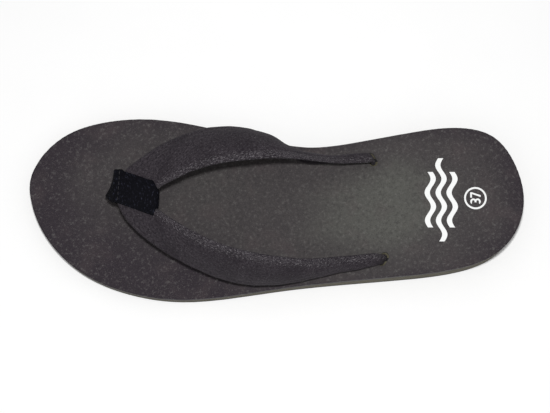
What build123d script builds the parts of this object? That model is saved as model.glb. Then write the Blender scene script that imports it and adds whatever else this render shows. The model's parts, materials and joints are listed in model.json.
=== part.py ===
from build123d import *
import math
import os

# Left-foot flip flop.  +X points to the toe, +Y to the lateral (outer) side, +Z up.
# The origin is on the ground under the middle of the sole.  Millimetres.

SIZE_FOR_CUTTING = 400.0       # longer than anything here

# ---- sole -------------------------------------------------------------------------------
SOLE_LENGTH = 247.0            # EU size 37: 37 Paris points of 2/3 cm
FOOTBED_THICKNESS = 3.0
OUTSOLE_THICKNESS = 2.5
SOLE_TOP = [(-130, 17.5), (-80, 17.0), (-30, 14.6), (20, 11.7), (60, 10.5), (130, 10.2)]  # x, height
SOLE_OUTLINE = [               # x, y at the top edge, from the toe tip round the lateral side
    (123.5, -5.5), (119, 10.8), (108, 26.8), (92, 39), (72, 46.6), (50, 49.9), (22, 48), (-6, 43.8),
    (-36, 40.5), (-64, 37.9), (-90, 34.2), (-108, 27.4), (-119.3, 15.4), (-123.5, -1.2),
    (-119.6, -18.4), (-109, -32.6), (-92, -37.1), (-68, -34.7), (-42, -30), (-16, -27.3),
    (8, -31.6), (34, -37.6), (62, -41.9), (86, -40.4), (105, -34), (118.4, -21.6),
]
FLEX_X = 44.0                  # the ball of the foot, where the sole bends
GROOVE_WIDTH = 1.4
GROOVE_DEPTH = 1.0
GROOVE_PITCH = 7.0
GROOVE_BORDER = 7.0            # plain rim left round the tread

# ---- prints on the footbed --------------------------------------------------------------
PRINT_LIFT = 0.02              # gap under a print, so it stays a solid of its own
PRINT_THICKNESS = 0.15
RING_CENTRE = (-99.4, -1.1)
RING_RADIUS = 5.6
RING_STROKE = 0.9
DIGIT_HEIGHT = 6.0
DIGIT_STROKE = 1.0
DIGIT_SCALE = 0.86             # the pair of digits, drawn at their full height and then fitted in the ring
THREE_PLACE = -1.95            # along the reading direction, from the ring's centre
SEVEN_PLACE = 1.85
SEVEN_HALF_WIDTH = 1.56
SEVEN_FOOT = (-1.2, -0.1)      # x range of the foot of the 7
SEVEN_NECK = 0.6               # where its stem leaves the top bar
WAVE_CENTRE = (-82.5, -0.3)
WAVE_LENGTHS = (28.0, 42.0, 28.0)
WAVE_SPACING = 5.4
WAVE_HEIGHT = 1.5
WAVE_PERIOD = 14.0
WAVE_STROKE = 2.6

# ---- anchors under the footbed ----------------------------------------------------------
DISC_RADIUS = 9.0
DISC_THICKNESS = 1.6
DISC_CLEARANCE = 0.3
DISC_CHAMFER = 0.3
DISC_ABOVE_HEM = 0.1
HEM_HEIGHT = 1.1
HEM_ABOVE_OUTSOLE = 0.1
HEM_THICKNESS = 3.4
WEBBING_THICKNESS = 1.6
WEBBING_WIDTH = 8.0
WEBBING_CLEARANCE = 0.2
LATERAL_ANCHOR = (-53.5, 29.4)
MEDIAL_ANCHOR = (-50.5, -20.9)
DIMPLE_RADIUS = 10.0           # the foam is drawn down where a strap goes in
DIMPLE_DEPTH = 2.0
ANCHOR_RISE = 0.4              # webbing end below the footbed surface

# ---- toe post ---------------------------------------------------------------------------
POST_X = 77.0
POST_Y = -4.0
POST_THICKNESS = 4.8
POST_WIDTH = 12.0
POST_LEAN = 3.0                # the top sits this much nearer the heel
POST_RISE = 18.0
POST_PIVOT_CLEARANCE = 0.35
POST_SLOT = (7.2, 13.0)
CORD_RADIUS = 1.5
CORD_CLEARANCE = 0.1
CORD_OVERRUN = 3.36            # how much longer the cord is than the distance between the two axes

# ---- strap ------------------------------------------------------------------------------
# Each station crosses the strap: front (outer) edge, crown, rear (inner) edge.
MEDIAL_STATIONS = [            # from the tail forwards
    ((-47.0, -21.4, 17.5), (-48.4, -22.2, 18.6), (-50.0, -19.6, 19.4)),
    ((-38.0, -19.8, 18.2), (-41.0, -22.6, 20.6), (-43.0, -18.0, 22.4)),
    ((-26.0, -18.0, 18.4), (-29.5, -22.8, 21.6), (-32.0, -16.8, 25.2)),
    ((-11.0, -18.6, 18.9), (-14.5, -24.6, 25.0), (-17.5, -16.6, 32.6)),
    ((2.0, -28.6, 22.6), (-1.0, -27.0, 32.5), (-3.0, -16.2, 41.0)),
    ((18.0, -32.6, 28.4), (15.0, -27.0, 37.5), (13.0, -14.2, 45.2)),
    ((37.0, -30.8, 31.0), (34.5, -23.5, 38.5), (32.0, -11.8, 42.8)),
    ((55.0, -23.4, 32.6), (51.0, -16.2, 37.0), (47.0, -6.8, 37.4)),
    ((68.4, -14.2, 31.6), (63.4, -8.9, 33.4), (58.0, -1.0, 31.8)),
]
JUNCTION_STATIONS = [          # the bend between the two arms, under the toe wrap
    ((76.6, -8.0, 31.2), (67.5, -3.4, 33.2), (58.0, 1.4, 31.9)),
    ((77.2, 3.0, 30.0), (68.6, 3.6, 32.6), (58.2, 4.8, 31.8)),
]
LATERAL_STATIONS = [           # from the junction back to the tail
    ((72.4, 12.2, 28.6), (66.5, 10.6, 31.8), (59.0, 6.6, 31.8)),
    ((60.0, 24.0, 26.6), (54.5, 19.0, 33.0), (48.5, 14.9, 37.0)),
    ((43.0, 33.2, 25.2), (38.5, 28.5, 34.5), (34.5, 23.5, 41.3)),
    ((23.0, 41.0, 23.5), (20.0, 37.0, 34.0), (17.5, 29.8, 43.3)),
    ((4.0, 42.6, 21.6), (2.0, 39.6, 31.5), (0.0, 32.4, 39.5)),
    ((-11.0, 40.4, 19.8), (-13.5, 38.4, 26.2), (-16.0, 32.6, 31.0)),
    ((-28.0, 36.4, 18.7), (-30.0, 34.6, 21.8), (-32.0, 30.2, 24.0)),
    ((-42.0, 33.8, 18.2), (-43.0, 32.6, 20.2), (-44.0, 28.8, 21.0)),
    ((-51.0, 31.4, 17.5), (-51.4, 30.2, 18.2), (-51.8, 27.6, 18.4)),
]
STATION_STEPS = 3              # the strap is skinned through this many sections per station
STRAP_HALF = 1.75              # half of the strap's thickness
COVER_LAYER = (1.05, 1.75)     # each layer's range, measured outwards from the middle of the strap
PADDING_LAYER = (-0.55, 0.95)
CORE_TAPE_LAYER = (-1.05, -0.65)
LINING_LAYER = (-1.75, -1.15)
PADDING_INSET = 0.06           # from each edge, as a share of the strap's width
CORE_TAPE_INSET = 0.2
STITCH_INSET = 0.08
STITCH_LENGTH = 2.2
STITCH_PITCH = 3.6
STITCH_THICKNESS = 0.5
LATERAL_SWING_START = (56.5, 16.0, 29.5)   # where each arm meets the junction on its swing axis
MEDIAL_SWING_START = (56.5, -12.0, 32.0)
ARM_GAP = 0.15                 # either side of the cut

# ---- toe wrap ---------------------------------------------------------------------------
WRAP_CORNERS = [(80.6, -11.4), (81.0, 4.6), (61.2, 10.2), (55.0, 6.6), (54.8, 1.0), (59.8, -6.6)]
WRAP_THICKNESS = 0.9
WRAP_PROFILE = [               # x, z of the band's outside, from the rear seam over the top
    (55.2, 29.4), (55.2, 35.2), (60.0, 37.0), (70.0, 37.0), (77.6, 35.8), (80.2, 32.6), (80.2, 24.6),
    (57.4, 26.0),
]
WRAP_POST_OPENING = (70.2, 77.8)   # x range
WRAP_POST_SIDE_GAP = 1.0
WRAP_STITCH_X = 60.5
WRAP_STITCH_Y = 1.0
WRAP_STITCH_Z = 25.7
WRAP_STITCH_COUNT = 3


def sole_height(x):
    """Height of the footbed's top at x, between the profile's points."""
    for (x0, z0), (x1, z1) in zip(SOLE_TOP, SOLE_TOP[1:]):
        if x <= x1:
            return z0 + (z1 - z0) * (x - x0) / (x1 - x0)
    return SOLE_TOP[-1][1]


def node(name, shape):
    """Write one node, as one solid or a group of solids."""
    solids = [solid for solid in shape.solids() if solid.volume > 1e-3]
    export_step(solids[0] if len(solids) == 1 else Compound(children=solids), f"parts/{name}.step")


def layer_under_top(low, high):
    """A sheet following the footbed's top, from low to high above it, wider than the sole."""
    upper = Spline(*[(x, 0, z + high) for x, z in SOLE_TOP])
    lower = Spline(*[(x, 0, z + low) for x, z in SOLE_TOP])
    ends = [Line(lower @ 0, upper @ 0), Line(upper @ 1, lower @ 1)]
    side = make_face(upper + ends[0] + ends[1] + lower)
    return extrude(side, amount=SIZE_FOR_CUTTING / 2, dir=(0, 1, 0), both=True)


def sole_prism(inset=0.0):
    """The sole's outline as a tall prism, drawn in by about inset all round."""
    width = max(y for _, y in SOLE_OUTLINE) - min(y for _, y in SOLE_OUTLINE)
    share_x = 1 - 2 * inset / SOLE_LENGTH
    share_y = 1 - 2 * inset / width
    outline = make_face(Spline(*[(x * share_x, y * share_y) for x, y in SOLE_OUTLINE], periodic=True))
    return extrude(outline, amount=SIZE_FOR_CUTTING / 8)


def upright(x, y, length_x, length_y, low, high):
    """A block standing from low to high, centred on x, y."""
    return Pos(x, y, (low + high) / 2) * Box(length_x, length_y, high - low)


def upright_round(x, y, radius, low, high):
    """A cylinder standing from low to high, centred on x, y."""
    return Pos(x, y, (low + high) / 2) * Cylinder(radius, high - low)


def across(x, y, z, radius, length):
    """A cylinder lying along Y, centred on the point."""
    return Pos(x, y, z) * Rot(90, 0, 0) * Cylinder(radius, length)


def halves(shape):
    """The shape behind and ahead of the flex line."""
    plane = Plane((FLEX_X, 0, 0), z_dir=(1, 0, 0))
    return split(shape, plane, keep=Keep.BOTTOM), split(shape, plane, keep=Keep.TOP)


# ---- derived places -----------------------------------------------------------------------
POST_BASE_Z = sole_height(POST_X)
POST_TOP = (POST_X - POST_LEAN, POST_BASE_Z + POST_RISE)   # x, z of the strap's pitch axis
HEM_LOW = OUTSOLE_THICKNESS + HEM_ABOVE_OUTSOLE
HEM_HIGH = HEM_LOW + HEM_HEIGHT
DISC_LOW = HEM_HIGH + DISC_ABOVE_HEM
DISC_HIGH = DISC_LOW + DISC_THICKNESS


def anchor_places():
    """x, y and the webbing's long direction of the three anchors."""
    return {
        "toe": (POST_X, POST_Y, (WEBBING_THICKNESS, WEBBING_WIDTH)),
        "lateral": (*LATERAL_ANCHOR, (WEBBING_WIDTH, WEBBING_THICKNESS)),
        "medial": (*MEDIAL_ANCHOR, (WEBBING_WIDTH, WEBBING_THICKNESS)),
    }


def anchor_top(name, x):
    """Where the webbing stops: below the post's pivot, or just under the surface."""
    if name == "toe":
        return POST_BASE_Z - POST_THICKNESS / 2 - POST_PIVOT_CLEARANCE
    return sole_height(x) - DIMPLE_DEPTH - ANCHOR_RISE


def anchor_disc(x, y, section):
    """A slotted disc that can't be pulled up through the foam."""
    slot = [size + 2 * WEBBING_CLEARANCE for size in section]
    disc = upright_round(x, y, DISC_RADIUS, DISC_LOW, DISC_HIGH)
    disc = chamfer(disc.edges().filter_by(GeomType.CIRCLE), DISC_CHAMFER)
    return disc - upright(x, y, *slot, 0, SIZE_FOR_CUTTING)


def anchor_webbing(name, x, y, section):
    """Webbing through the disc, with a folded hem under it."""
    hem = [HEM_THICKNESS if size == WEBBING_THICKNESS else size for size in section]
    stem = upright(x, y, *section, HEM_LOW, anchor_top(name, x))
    return stem + upright(x, y, *hem, HEM_LOW, HEM_HIGH)


def anchor_space():
    """Everything the midsole and footbed leave free for the three anchors."""
    space = []
    for name, (x, y, section) in anchor_places().items():
        slot = [size + 2 * WEBBING_CLEARANCE for size in section]
        space.append(upright_round(x, y, DISC_RADIUS + DISC_CLEARANCE, 0, DISC_HIGH + DISC_CLEARANCE))
        space.append(upright(x, y, *slot, OUTSOLE_THICKNESS, SIZE_FOR_CUTTING))
    return space


def slot_mouths():
    """The post's slot in the footbed, and the dimples where the arms go in."""
    pivot_low = POST_BASE_Z - POST_THICKNESS / 2 - POST_PIVOT_CLEARANCE
    mouths = [upright(POST_X, POST_Y, *POST_SLOT, pivot_low, SIZE_FOR_CUTTING)]
    for x, y in (LATERAL_ANCHOR, MEDIAL_ANCHOR):
        ball_radius = (DIMPLE_RADIUS**2 + DIMPLE_DEPTH**2) / (2 * DIMPLE_DEPTH)
        mouths.append(Pos(x, y, sole_height(x) - DIMPLE_DEPTH + ball_radius) * Sphere(ball_radius))
    return mouths


def tread_grooves():
    """Straight grooves across the walking face, kept inside a plain rim."""
    count = int(SOLE_LENGTH / GROOVE_PITCH) - 1
    first = -GROOVE_PITCH * (count - 1) / 2
    grooves = [
        upright(first + i * GROOVE_PITCH, 0, GROOVE_WIDTH, SIZE_FOR_CUTTING / 2, -1, GROOVE_DEPTH)
        for i in range(count)
        if abs(first + i * GROOVE_PITCH - FLEX_X) > GROOVE_WIDTH
    ]
    clip = Pos(0, 0, -1) * sole_prism(GROOVE_BORDER)
    return [groove & clip for groove in grooves]


def build_sole():
    """Footbed, midsole and outsole, each as a rear and a front half that meet at the flex line."""
    prism = sole_prism()
    spaces = anchor_space()
    footbed = layer_under_top(-FOOTBED_THICKNESS, 0) & prism
    footbed = footbed - slot_mouths() - spaces
    above_outsole = upright(0, 0, SIZE_FOR_CUTTING, SIZE_FOR_CUTTING, OUTSOLE_THICKNESS, SIZE_FOR_CUTTING / 8)
    midsole = layer_under_top(-SIZE_FOR_CUTTING / 8, -FOOTBED_THICKNESS) & prism & above_outsole
    midsole = midsole - slot_mouths()[:1] - spaces
    outsole = upright(0, 0, SIZE_FOR_CUTTING, SIZE_FOR_CUTTING, 0, OUTSOLE_THICKNESS) & prism
    outsole = outsole - tread_grooves()
    for name, sheet in (("footbed", footbed), ("midsole", midsole), ("outsole", outsole)):
        rear, front = halves(sheet)
        node(f"{name}_rear", rear)
        node(f"{name}_front", front)


def on_footbed(sketch):
    """A print: the sketch laid on the footbed as a thin layer."""
    column = extrude(sketch, amount=SIZE_FOR_CUTTING / 8)
    return column & layer_under_top(PRINT_LIFT, PRINT_LIFT + PRINT_THICKNESS)


def digit_three():
    """The digit 3, centred, as two open bowls."""
    bowl = DIGIT_HEIGHT / 4 + DIGIT_STROKE / 4
    ring = Circle(bowl) - Circle(bowl - DIGIT_STROKE)
    gap = Pos(-bowl, 0) * Rectangle(2 * bowl - DIGIT_STROKE, 2 * bowl)
    shift = bowl - DIGIT_STROKE / 2
    upper = Pos(0, shift) * (ring - Pos(0, -bowl / 2) * gap)
    lower = Pos(0, -shift) * (ring - Pos(0, bowl / 2) * gap)
    return upper + lower


def digit_seven():
    """The digit 7, centred."""
    half = DIGIT_HEIGHT / 2
    width = SEVEN_HALF_WIDTH
    foot_left, foot_right = SEVEN_FOOT
    return make_face(Polyline(
        (-width, half), (width, half), (width, half - DIGIT_STROKE), (foot_right, -half), (foot_left, -half),
        (SEVEN_NECK, half - DIGIT_STROKE), (-width, half - DIGIT_STROKE), close=True,
    ))


def wave(length):
    """One wavy stripe along the local X axis."""
    steps = round(length / WAVE_PERIOD * 8)
    spine = [-length / 2 + length * i / steps for i in range(steps + 1)]
    crest = [WAVE_HEIGHT * math.sin(2 * math.pi * x / WAVE_PERIOD) for x in spine]
    upper = Spline(*[(x, z + WAVE_STROKE / 2) for x, z in zip(spine, crest)])
    lower = Spline(*[(x, z - WAVE_STROKE / 2) for x, z in zip(spine, crest)])
    return make_face(upper + Line(upper @ 1, lower @ 1) + lower + Line(lower @ 0, upper @ 0))


def build_prints():
    """Size ring, size digits and heel print, read from the lateral side with their tops to the toe."""
    reading = Rot(0, 0, -90)
    ring_place = Pos(*RING_CENTRE, 0) * reading
    node("size_ring_print", on_footbed(ring_place * (Circle(RING_RADIUS) - Circle(RING_RADIUS - RING_STROKE))))
    digits = Pos(THREE_PLACE, 0) * digit_three() + Pos(SEVEN_PLACE, 0) * digit_seven()
    node("size_digits_print", on_footbed(ring_place * digits.scale(DIGIT_SCALE)))
    stripes = Sketch()
    for i, length in enumerate(WAVE_LENGTHS):
        stripes += Pos(0, (i - 1) * WAVE_SPACING) * wave(length)
    node("heel_print", on_footbed(Pos(*WAVE_CENTRE, 0) * reading * stripes))


def build_anchors():
    """The discs and webbing that hold the strap in the sole."""
    for name, (x, y, section) in anchor_places().items():
        node(f"{name}_anchor_disc", anchor_disc(x, y, section))
        webbing_name = "toe_stem_webbing" if name == "toe" else f"{name}_anchor_webbing"
        node(webbing_name, anchor_webbing(name, x, y, section))


def build_post():
    """The post's fabric tube and the cord inside it, between the two pitch axes."""
    base = Vector(POST_X, POST_Y, POST_BASE_Z)
    top = Vector(POST_TOP[0], POST_Y, POST_TOP[1])
    rise = top - base
    lean = math.degrees(math.atan2(rise.X, rise.Z))
    along = Pos(*((base + top) * 0.5)) * Rot(0, lean, 0)
    slab = along * Box(POST_THICKNESS, POST_WIDTH, rise.length)
    ends = [across(*base, POST_THICKNESS / 2, POST_WIDTH), across(*top, POST_THICKNESS / 2, POST_WIDTH)]
    sleeve = slab + ends
    sleeve = sleeve - along * Cylinder(CORD_RADIUS + CORD_CLEARANCE, 2 * rise.length)
    node("toe_post_sleeve", sleeve)
    node("toe_post_cord", along * Cylinder(CORD_RADIUS, rise.length + CORD_OVERRUN))


def station_arc(station):
    """Centre, radius, start direction, quarter direction and angle of the arc through a station."""
    outer, crown, inner = station
    a = outer - inner
    b = crown - inner
    normal = a.cross(b)
    centre = inner + (b * a.dot(a) - a * b.dot(b)).cross(normal) * (0.5 / normal.dot(normal))
    start = (outer - centre).normalized()
    axis = (crown - outer).cross(inner - crown).normalized()
    quarter = axis.cross(start)
    end = (inner - centre).normalized()
    angle = math.atan2(end.dot(quarter), end.dot(start)) % (2 * math.pi)
    return centre, (outer - centre).length, start, quarter, angle


def station_point(station, fraction, height, inset=0.0):
    """A point across a station, fraction 0 at the outer edge to 1 at the inner, height off the middle."""
    centre, radius, start, quarter, angle = station_arc(station)
    turn = angle * (inset + (1 - 2 * inset) * fraction)
    direction = start * math.cos(turn) + quarter * math.sin(turn)
    return centre + direction * (radius + height)


def station_outline(station, low, high, inset=0.0):
    """The closed outline of a strap layer at one station."""
    upper = ThreePointArc(*[station_point(station, f, high, inset) for f in (0, 0.5, 1)])
    lower = ThreePointArc(*[station_point(station, f, low, inset) for f in (1, 0.5, 0)])
    return Wire([upper, Line(upper @ 1, lower @ 0), lower, Line(lower @ 1, upper @ 0)])


def between(before, start, end, after, t):
    """A point t of the way from start to end, on the smooth curve through all four."""
    return (
        start
        + (end - before) * (t / 2)
        + (before * 2 - start * 5 + end * 4 - after) * (t**2 / 2)
        + (start * 3 - before - end * 3 + after) * (t**3 / 2)
    )


def strap_sections():
    """The whole strap's sections, from the medial tail round the junction to the lateral tail."""
    stations = [[Vector(*point) for point in s] for s in MEDIAL_STATIONS + JUNCTION_STATIONS + LATERAL_STATIONS]
    padded = [stations[0]] + stations + [stations[-1]]
    sections = []
    for i in range(len(stations) - 1):
        for step in range(STATION_STEPS):
            corners = zip(*padded[i:i + 4])
            sections.append([between(*corner, step / STATION_STEPS) for corner in corners])
    return sections + [stations[-1]]


def strap_layer(sections, low, high, inset=0.0):
    """A layer of the strap, skinned through its sections."""
    return Solid.make_loft([station_outline(section, low, high, inset) for section in sections], ruled=True)


def swing_plane(start, anchor, shift):
    """The plane across an arm's swing axis, shifted towards the tail."""
    start = Vector(*start)
    end = Vector(*anchor, sole_height(anchor[0]))
    direction = (end - start).normalized()
    return Plane(start + direction * shift, z_dir=direction)


def seam_stitches(sections, plane):
    """A row of stitches along each edge of the lining."""
    stitches = []
    for fraction in (0, 1):
        line = Polyline(*[station_point(s, fraction, LINING_LAYER[0], STITCH_INSET) for s in sections])
        count = int(line.length / STITCH_PITCH)
        for i in range(1, count):
            place = line.location_at(i / count)
            inside = (place.position - plane.origin).dot(plane.z_dir) > STITCH_LENGTH
            if inside:
                stitches.append(place * Box(STITCH_THICKNESS, STITCH_THICKNESS, STITCH_LENGTH))
    return Compound(children=[s.solids()[0] for s in stitches])


def build_arm(side, sections, start, anchor):
    """One strap arm: cover, padding, core tape, lining and its seam."""
    plane = swing_plane(start, anchor, ARM_GAP)
    layers = {
        "cover": (*COVER_LAYER, 0.0),
        "padding": (*PADDING_LAYER, PADDING_INSET),
        "core_tape": (*CORE_TAPE_LAYER, CORE_TAPE_INSET),
        "lining": (*LINING_LAYER, 0.0),
    }
    for name, (low, high, inset) in layers.items():
        layer = strap_layer(sections, low, high, inset)
        node(f"{side}_{name}", split(layer, plane, keep=Keep.TOP))
    node(f"{side}_seam_stitches", seam_stitches(sections, plane))


def build_junction(sections, pivot):
    """The two strap fronts sewn together: the full strap between the two swing planes."""
    strap = strap_layer(sections, -STRAP_HALF, STRAP_HALF)
    for start, anchor in ((LATERAL_SWING_START, LATERAL_ANCHOR), (MEDIAL_SWING_START, MEDIAL_ANCHOR)):
        strap = split(strap, swing_plane(start, anchor, -ARM_GAP), keep=Keep.BOTTOM)
    seat = across(*pivot, POST_THICKNESS / 2 + POST_PIVOT_CLEARANCE, POST_WIDTH + 2 * POST_PIVOT_CLEARANCE)
    node("strap_junction", strap - seat)


def build_wrap(pivot):
    """The band folded round the junction, open at its sides and where the post comes up, and its seam."""
    profile = make_face(Polyline(*[(x, 0, z) for x, z in WRAP_PROFILE], close=True))
    band = make_face(Polyline(*WRAP_CORNERS, close=True))
    column = extrude(band, amount=SIZE_FOR_CUTTING / 4)
    outside = extrude(profile, amount=SIZE_FOR_CUTTING / 4, dir=(0, 1, 0), both=True)
    inside = extrude(offset(profile, -WRAP_THICKNESS), amount=SIZE_FOR_CUTTING / 4, dir=(0, 1, 0), both=True)
    low, high = WRAP_POST_OPENING
    opening = upright((low + high) / 2, POST_Y, high - low, POST_WIDTH + 2 * WRAP_POST_SIDE_GAP, 0, pivot[2])
    node("toe_wrap", (outside & column) - inside - opening)
    stitches = []
    for i in range(WRAP_STITCH_COUNT):
        y = WRAP_STITCH_Y + (i - (WRAP_STITCH_COUNT - 1) / 2) * STITCH_PITCH
        stitch = Box(STITCH_THICKNESS, STITCH_LENGTH, STITCH_THICKNESS)
        stitches.append(Pos(WRAP_STITCH_X, y, WRAP_STITCH_Z) * stitch)
    node("wrap_stitches", Compound(children=[s.solids()[0] for s in stitches]))


def main():
    os.makedirs("parts", exist_ok=True)
    build_sole()
    build_prints()
    build_anchors()
    build_post()
    sections = strap_sections()
    middle = (len(MEDIAL_STATIONS) + 0.5) * STATION_STEPS
    medial_arm = sections[: int(middle) - STATION_STEPS]
    lateral_arm = sections[int(middle) + STATION_STEPS :]
    build_arm("lateral", lateral_arm, LATERAL_SWING_START, LATERAL_ANCHOR)
    build_arm("medial", medial_arm, MEDIAL_SWING_START, MEDIAL_ANCHOR)
    pivot = (POST_TOP[0], POST_Y, POST_TOP[1])
    reach = STATION_STEPS * 4
    build_junction(sections[int(middle) - reach : int(middle) + reach + 1], pivot)
    build_wrap(pivot)


main()
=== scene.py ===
"""Looks for the left-foot flip flop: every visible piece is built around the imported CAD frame.

Frame: +X to the toe, +Y to the lateral side, +Z up, metres.
"""

import json
import math

import bmesh
import bpy
import numpy as np
from mathutils import Matrix, Vector, noise
from mathutils.bvhtree import BVHTree


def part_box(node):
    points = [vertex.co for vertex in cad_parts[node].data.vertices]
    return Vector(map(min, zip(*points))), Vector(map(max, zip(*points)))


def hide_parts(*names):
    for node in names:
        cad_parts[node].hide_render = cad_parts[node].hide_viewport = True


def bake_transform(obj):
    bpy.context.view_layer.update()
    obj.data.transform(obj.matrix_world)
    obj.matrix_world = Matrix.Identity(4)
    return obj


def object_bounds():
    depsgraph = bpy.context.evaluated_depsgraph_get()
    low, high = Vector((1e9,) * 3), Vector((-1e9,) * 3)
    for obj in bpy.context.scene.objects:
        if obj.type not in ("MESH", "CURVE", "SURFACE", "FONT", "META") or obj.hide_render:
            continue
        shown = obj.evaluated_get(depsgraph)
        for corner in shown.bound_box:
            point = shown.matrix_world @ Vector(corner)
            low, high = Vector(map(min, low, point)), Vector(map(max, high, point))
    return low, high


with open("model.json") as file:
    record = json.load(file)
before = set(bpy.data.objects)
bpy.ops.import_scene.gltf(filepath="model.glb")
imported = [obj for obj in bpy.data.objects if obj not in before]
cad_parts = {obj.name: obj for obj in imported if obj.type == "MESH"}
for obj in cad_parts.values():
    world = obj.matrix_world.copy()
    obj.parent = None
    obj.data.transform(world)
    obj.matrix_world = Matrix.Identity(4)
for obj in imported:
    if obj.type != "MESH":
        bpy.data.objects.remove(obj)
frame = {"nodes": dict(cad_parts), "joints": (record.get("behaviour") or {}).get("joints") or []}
CAD_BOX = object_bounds()
NODES = frame["nodes"]
JOINTS = {joint["name"]: joint for joint in frame["joints"]}

MM = 0.001
HIGH_UP = 100 * MM  # above everything
SIDES = {"lateral": 1, "medial": -1}  # direction in y

# ---- sole ----
OUTLINE_POINTS = 1601
OUTLINE_SMOOTHING = 4.0  # points
HEIGHT_SAMPLES = 90
TIP_MARGIN = 2 * MM  # heights are not read closer than this to the tips
STATIONS = 250  # rows of points along the sole
EDGE_COLUMNS = (0, 0.12, 0.3, 0.55, 0.9, 1.5, 2.6, 4.2)  # mm in from the footbed's edge
RIM_RADIUS = 0.9 * MM  # rounding of the footbed's top edge
SEAM_RADIUS = 0.22 * MM  # rounding where two glued layers meet
TREAD_RADIUS = 0.5 * MM  # rounding of the outsole's lower edge
WALL_ROUGHNESS = 0.10 * MM  # ripple of the cut foam edge
DENT_REACH = 4.675 * MM  # the foam sinks where a strap goes in
DENT_DEPTH = 1.3 * MM
WAVE_DEPTH = 0.10 * MM  # slow unevenness of the footbed
GROOVE_BORDER = 7 * MM  # tread grooves stop this far from the edge
GROOVE_STEP = 0.04 * MM
CRISP_ANGLE = 38  # degrees; steeper edges of the sole stay crisp
CUT_UP_TO = 30 * MM  # cutters end here, well above the footbed
CUT_BELOW = 2 * MM  # and this far below its underside
TONE_AND_FALLOFF_X = (-123, -100, -60, -30, -3, 30, 70, 123)  # mm along the sole
TONE_AND_FALLOFF = (0.3, 0.5, 1.0, 0.86, 0.55, 0.6, 0.42, 0.08)  # how light and olive the foam is there: partly the foam's own colour, partly painted flash falloff and sheen
RIM_DARKENING = 26 * MM  # it darkens over this much towards the edge

# ---- strap ----
ACROSS = 33  # points across each face of the strap
CAP = 6  # points round each folded edge
SLICE_STEP = 2.4 * MM
RING_STEP = 1.25 * MM
FAN_ANGLE = {"lateral": 94.0, "medial": 70.0}  # degrees the sections turn from arm to wrap
FAN_PER_DEGREE = 0.14  # sections in each degree of that turn
SMOOTH_ALONG = 1.6  # sections
EDGE_INSET = 1.3 * MM
FOLD_FROM_EDGE = 4.2 * MM  # the crease beside each folded edge
FOLD_DEPTH = 0.30 * MM
FOLD_WIDTH = 0.9 * MM
WRINKLE = 0.32 * MM
PUFF = 0.35 * MM  # the padding swells the middle of the strap
ARCH_X = (-50, -40, -30, -12, -5, 2, 10)  # mm along the sole
ARCH_KEPT = (0.8, 0.7, 0.5, 0.45, 0.52, 0.8, 1.0)  # share of the medial arm's arch left at each
TAIL_HALF_WIDTH = 2.6 * MM
TAIL_HALF_THICKNESS = 1.35 * MM
TAIL_DEPTH = 2.3 * MM
TAIL_TURN = math.radians(58)  # between a tail's width and the sole's length where it goes in
TAIL_SPARE = (2.2 * MM, 1.7 * MM)  # room in the slot round a tail, lengthwise and across
WEBBING_SPARE = (1.0 * MM, 0.9 * MM)  # and round the webbing below it
TAIL_OVERLAP = 1.6 * MM  # a tail's slot starts this far below the webbing's top
TAIL_SHIFT = {"lateral": -0.2 * MM, "medial": 2.2 * MM}  # to the toe from the webbing's middle
LINING_COLUMNS = 15
LINING_INSET = 2.6 * MM
SEAM_INSET = 2.0 * MM
SEAM_STITCH = (2.3 * MM, 0.24 * MM)  # length and radius
WRAP_STITCH = (1.8 * MM, 0.21 * MM)
STITCH_SIDES = 6
STITCH_SHAPE = ((-0.5, 0.35), (-0.36, 0.9), (0.0, 1.1), (0.36, 0.9), (0.5, 0.35))  # place, size

# ---- toe wrap and post ----
POST_TWIST = 28.0  # degrees the post is turned at the footbed
TWIST_PER_MM = 0.25  # and how much more with each millimetre above it
POST_HALF_WIDTH = 4.9 * MM
POST_HALF_THICK = 2.0 * MM
POST_AROUND = 44
POST_STEPS = 30
POST_SLOT = (12.6 * MM, 6.6 * MM)
WRAP_ACROSS, WRAP_OVER = 28, 30  # grid of heights read off the straps under the band
UNDER_STRAPS = 16 * MM  # below the straps there
WRAP_AROUND = 150  # points along each line of the band
WRAP_RISE = 0.5 * MM  # gap between the strap and the inner face of the band
WRAP_THICKNESS = 0.9 * MM
WRAP_WIDTH = 17 * MM
WRAP_END_Z = 16.5 * MM
WRAP_MIDDLE_Z = 21.5 * MM
WRAP_REAR_SHARES = (0, 0.30, 0.68, 1)
WRAP_REAR = ((6.2, 5.6), (3.4, 10.4), (3.6, 17.6), (5.2, 22.9))  # mm from the wrap's low corner
CROTCH_REACH = 1.6 * MM  # how far the band bulges past its own rear edge
FRONT_BULGE = 2.6 * MM  # how far its front face stands off the post

# ---- camera and light ----
CAMERA_PLACE = (-0.003, 0.1329, 0.721)
CAMERA_ROLL = 0.44  # degrees the picture is turned, heel down
CAMERA_SHIFT = 1.1 * MM  # how far off the sole's centre the view is aimed
CAMERA_AIM_Z = 12 * MM
CAMERA_LENS = 94.4  # mm on a 36 mm sensor
KEY_PLACE = (-0.003, 0.064, 0.734)
KEY_AIM_Z = 10 * MM
KEY_SIZE = 0.045
KEY_POWER = 3.5
SURROUND = 0.36
FLOOR_GLOW = 0.1  # keeps the floor near white
FLOOR_SIZE = 6.0
FLOOR_DROP = 0.2 * MM


# ---- general helpers ----
def unit(vectors):
    """Rows of a numpy array scaled to length one."""
    length = np.linalg.norm(vectors, axis=-1, keepdims=True)
    return vectors / np.maximum(length, 1e-12)


def lengths(points):
    """Distance walked along a polyline at each of its points."""
    return np.concatenate([[0], np.cumsum(np.linalg.norm(np.diff(points, axis=0), axis=1))])


def pick(at, known, points):
    """Points of a polyline at given places along it."""
    return np.stack([np.interp(at, known, column) for column in points.T], -1)


def resample(points, count):
    """A polyline walked at equal steps."""
    walked = lengths(points)
    return pick(np.linspace(0, walked[-1], count), walked, points)


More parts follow.
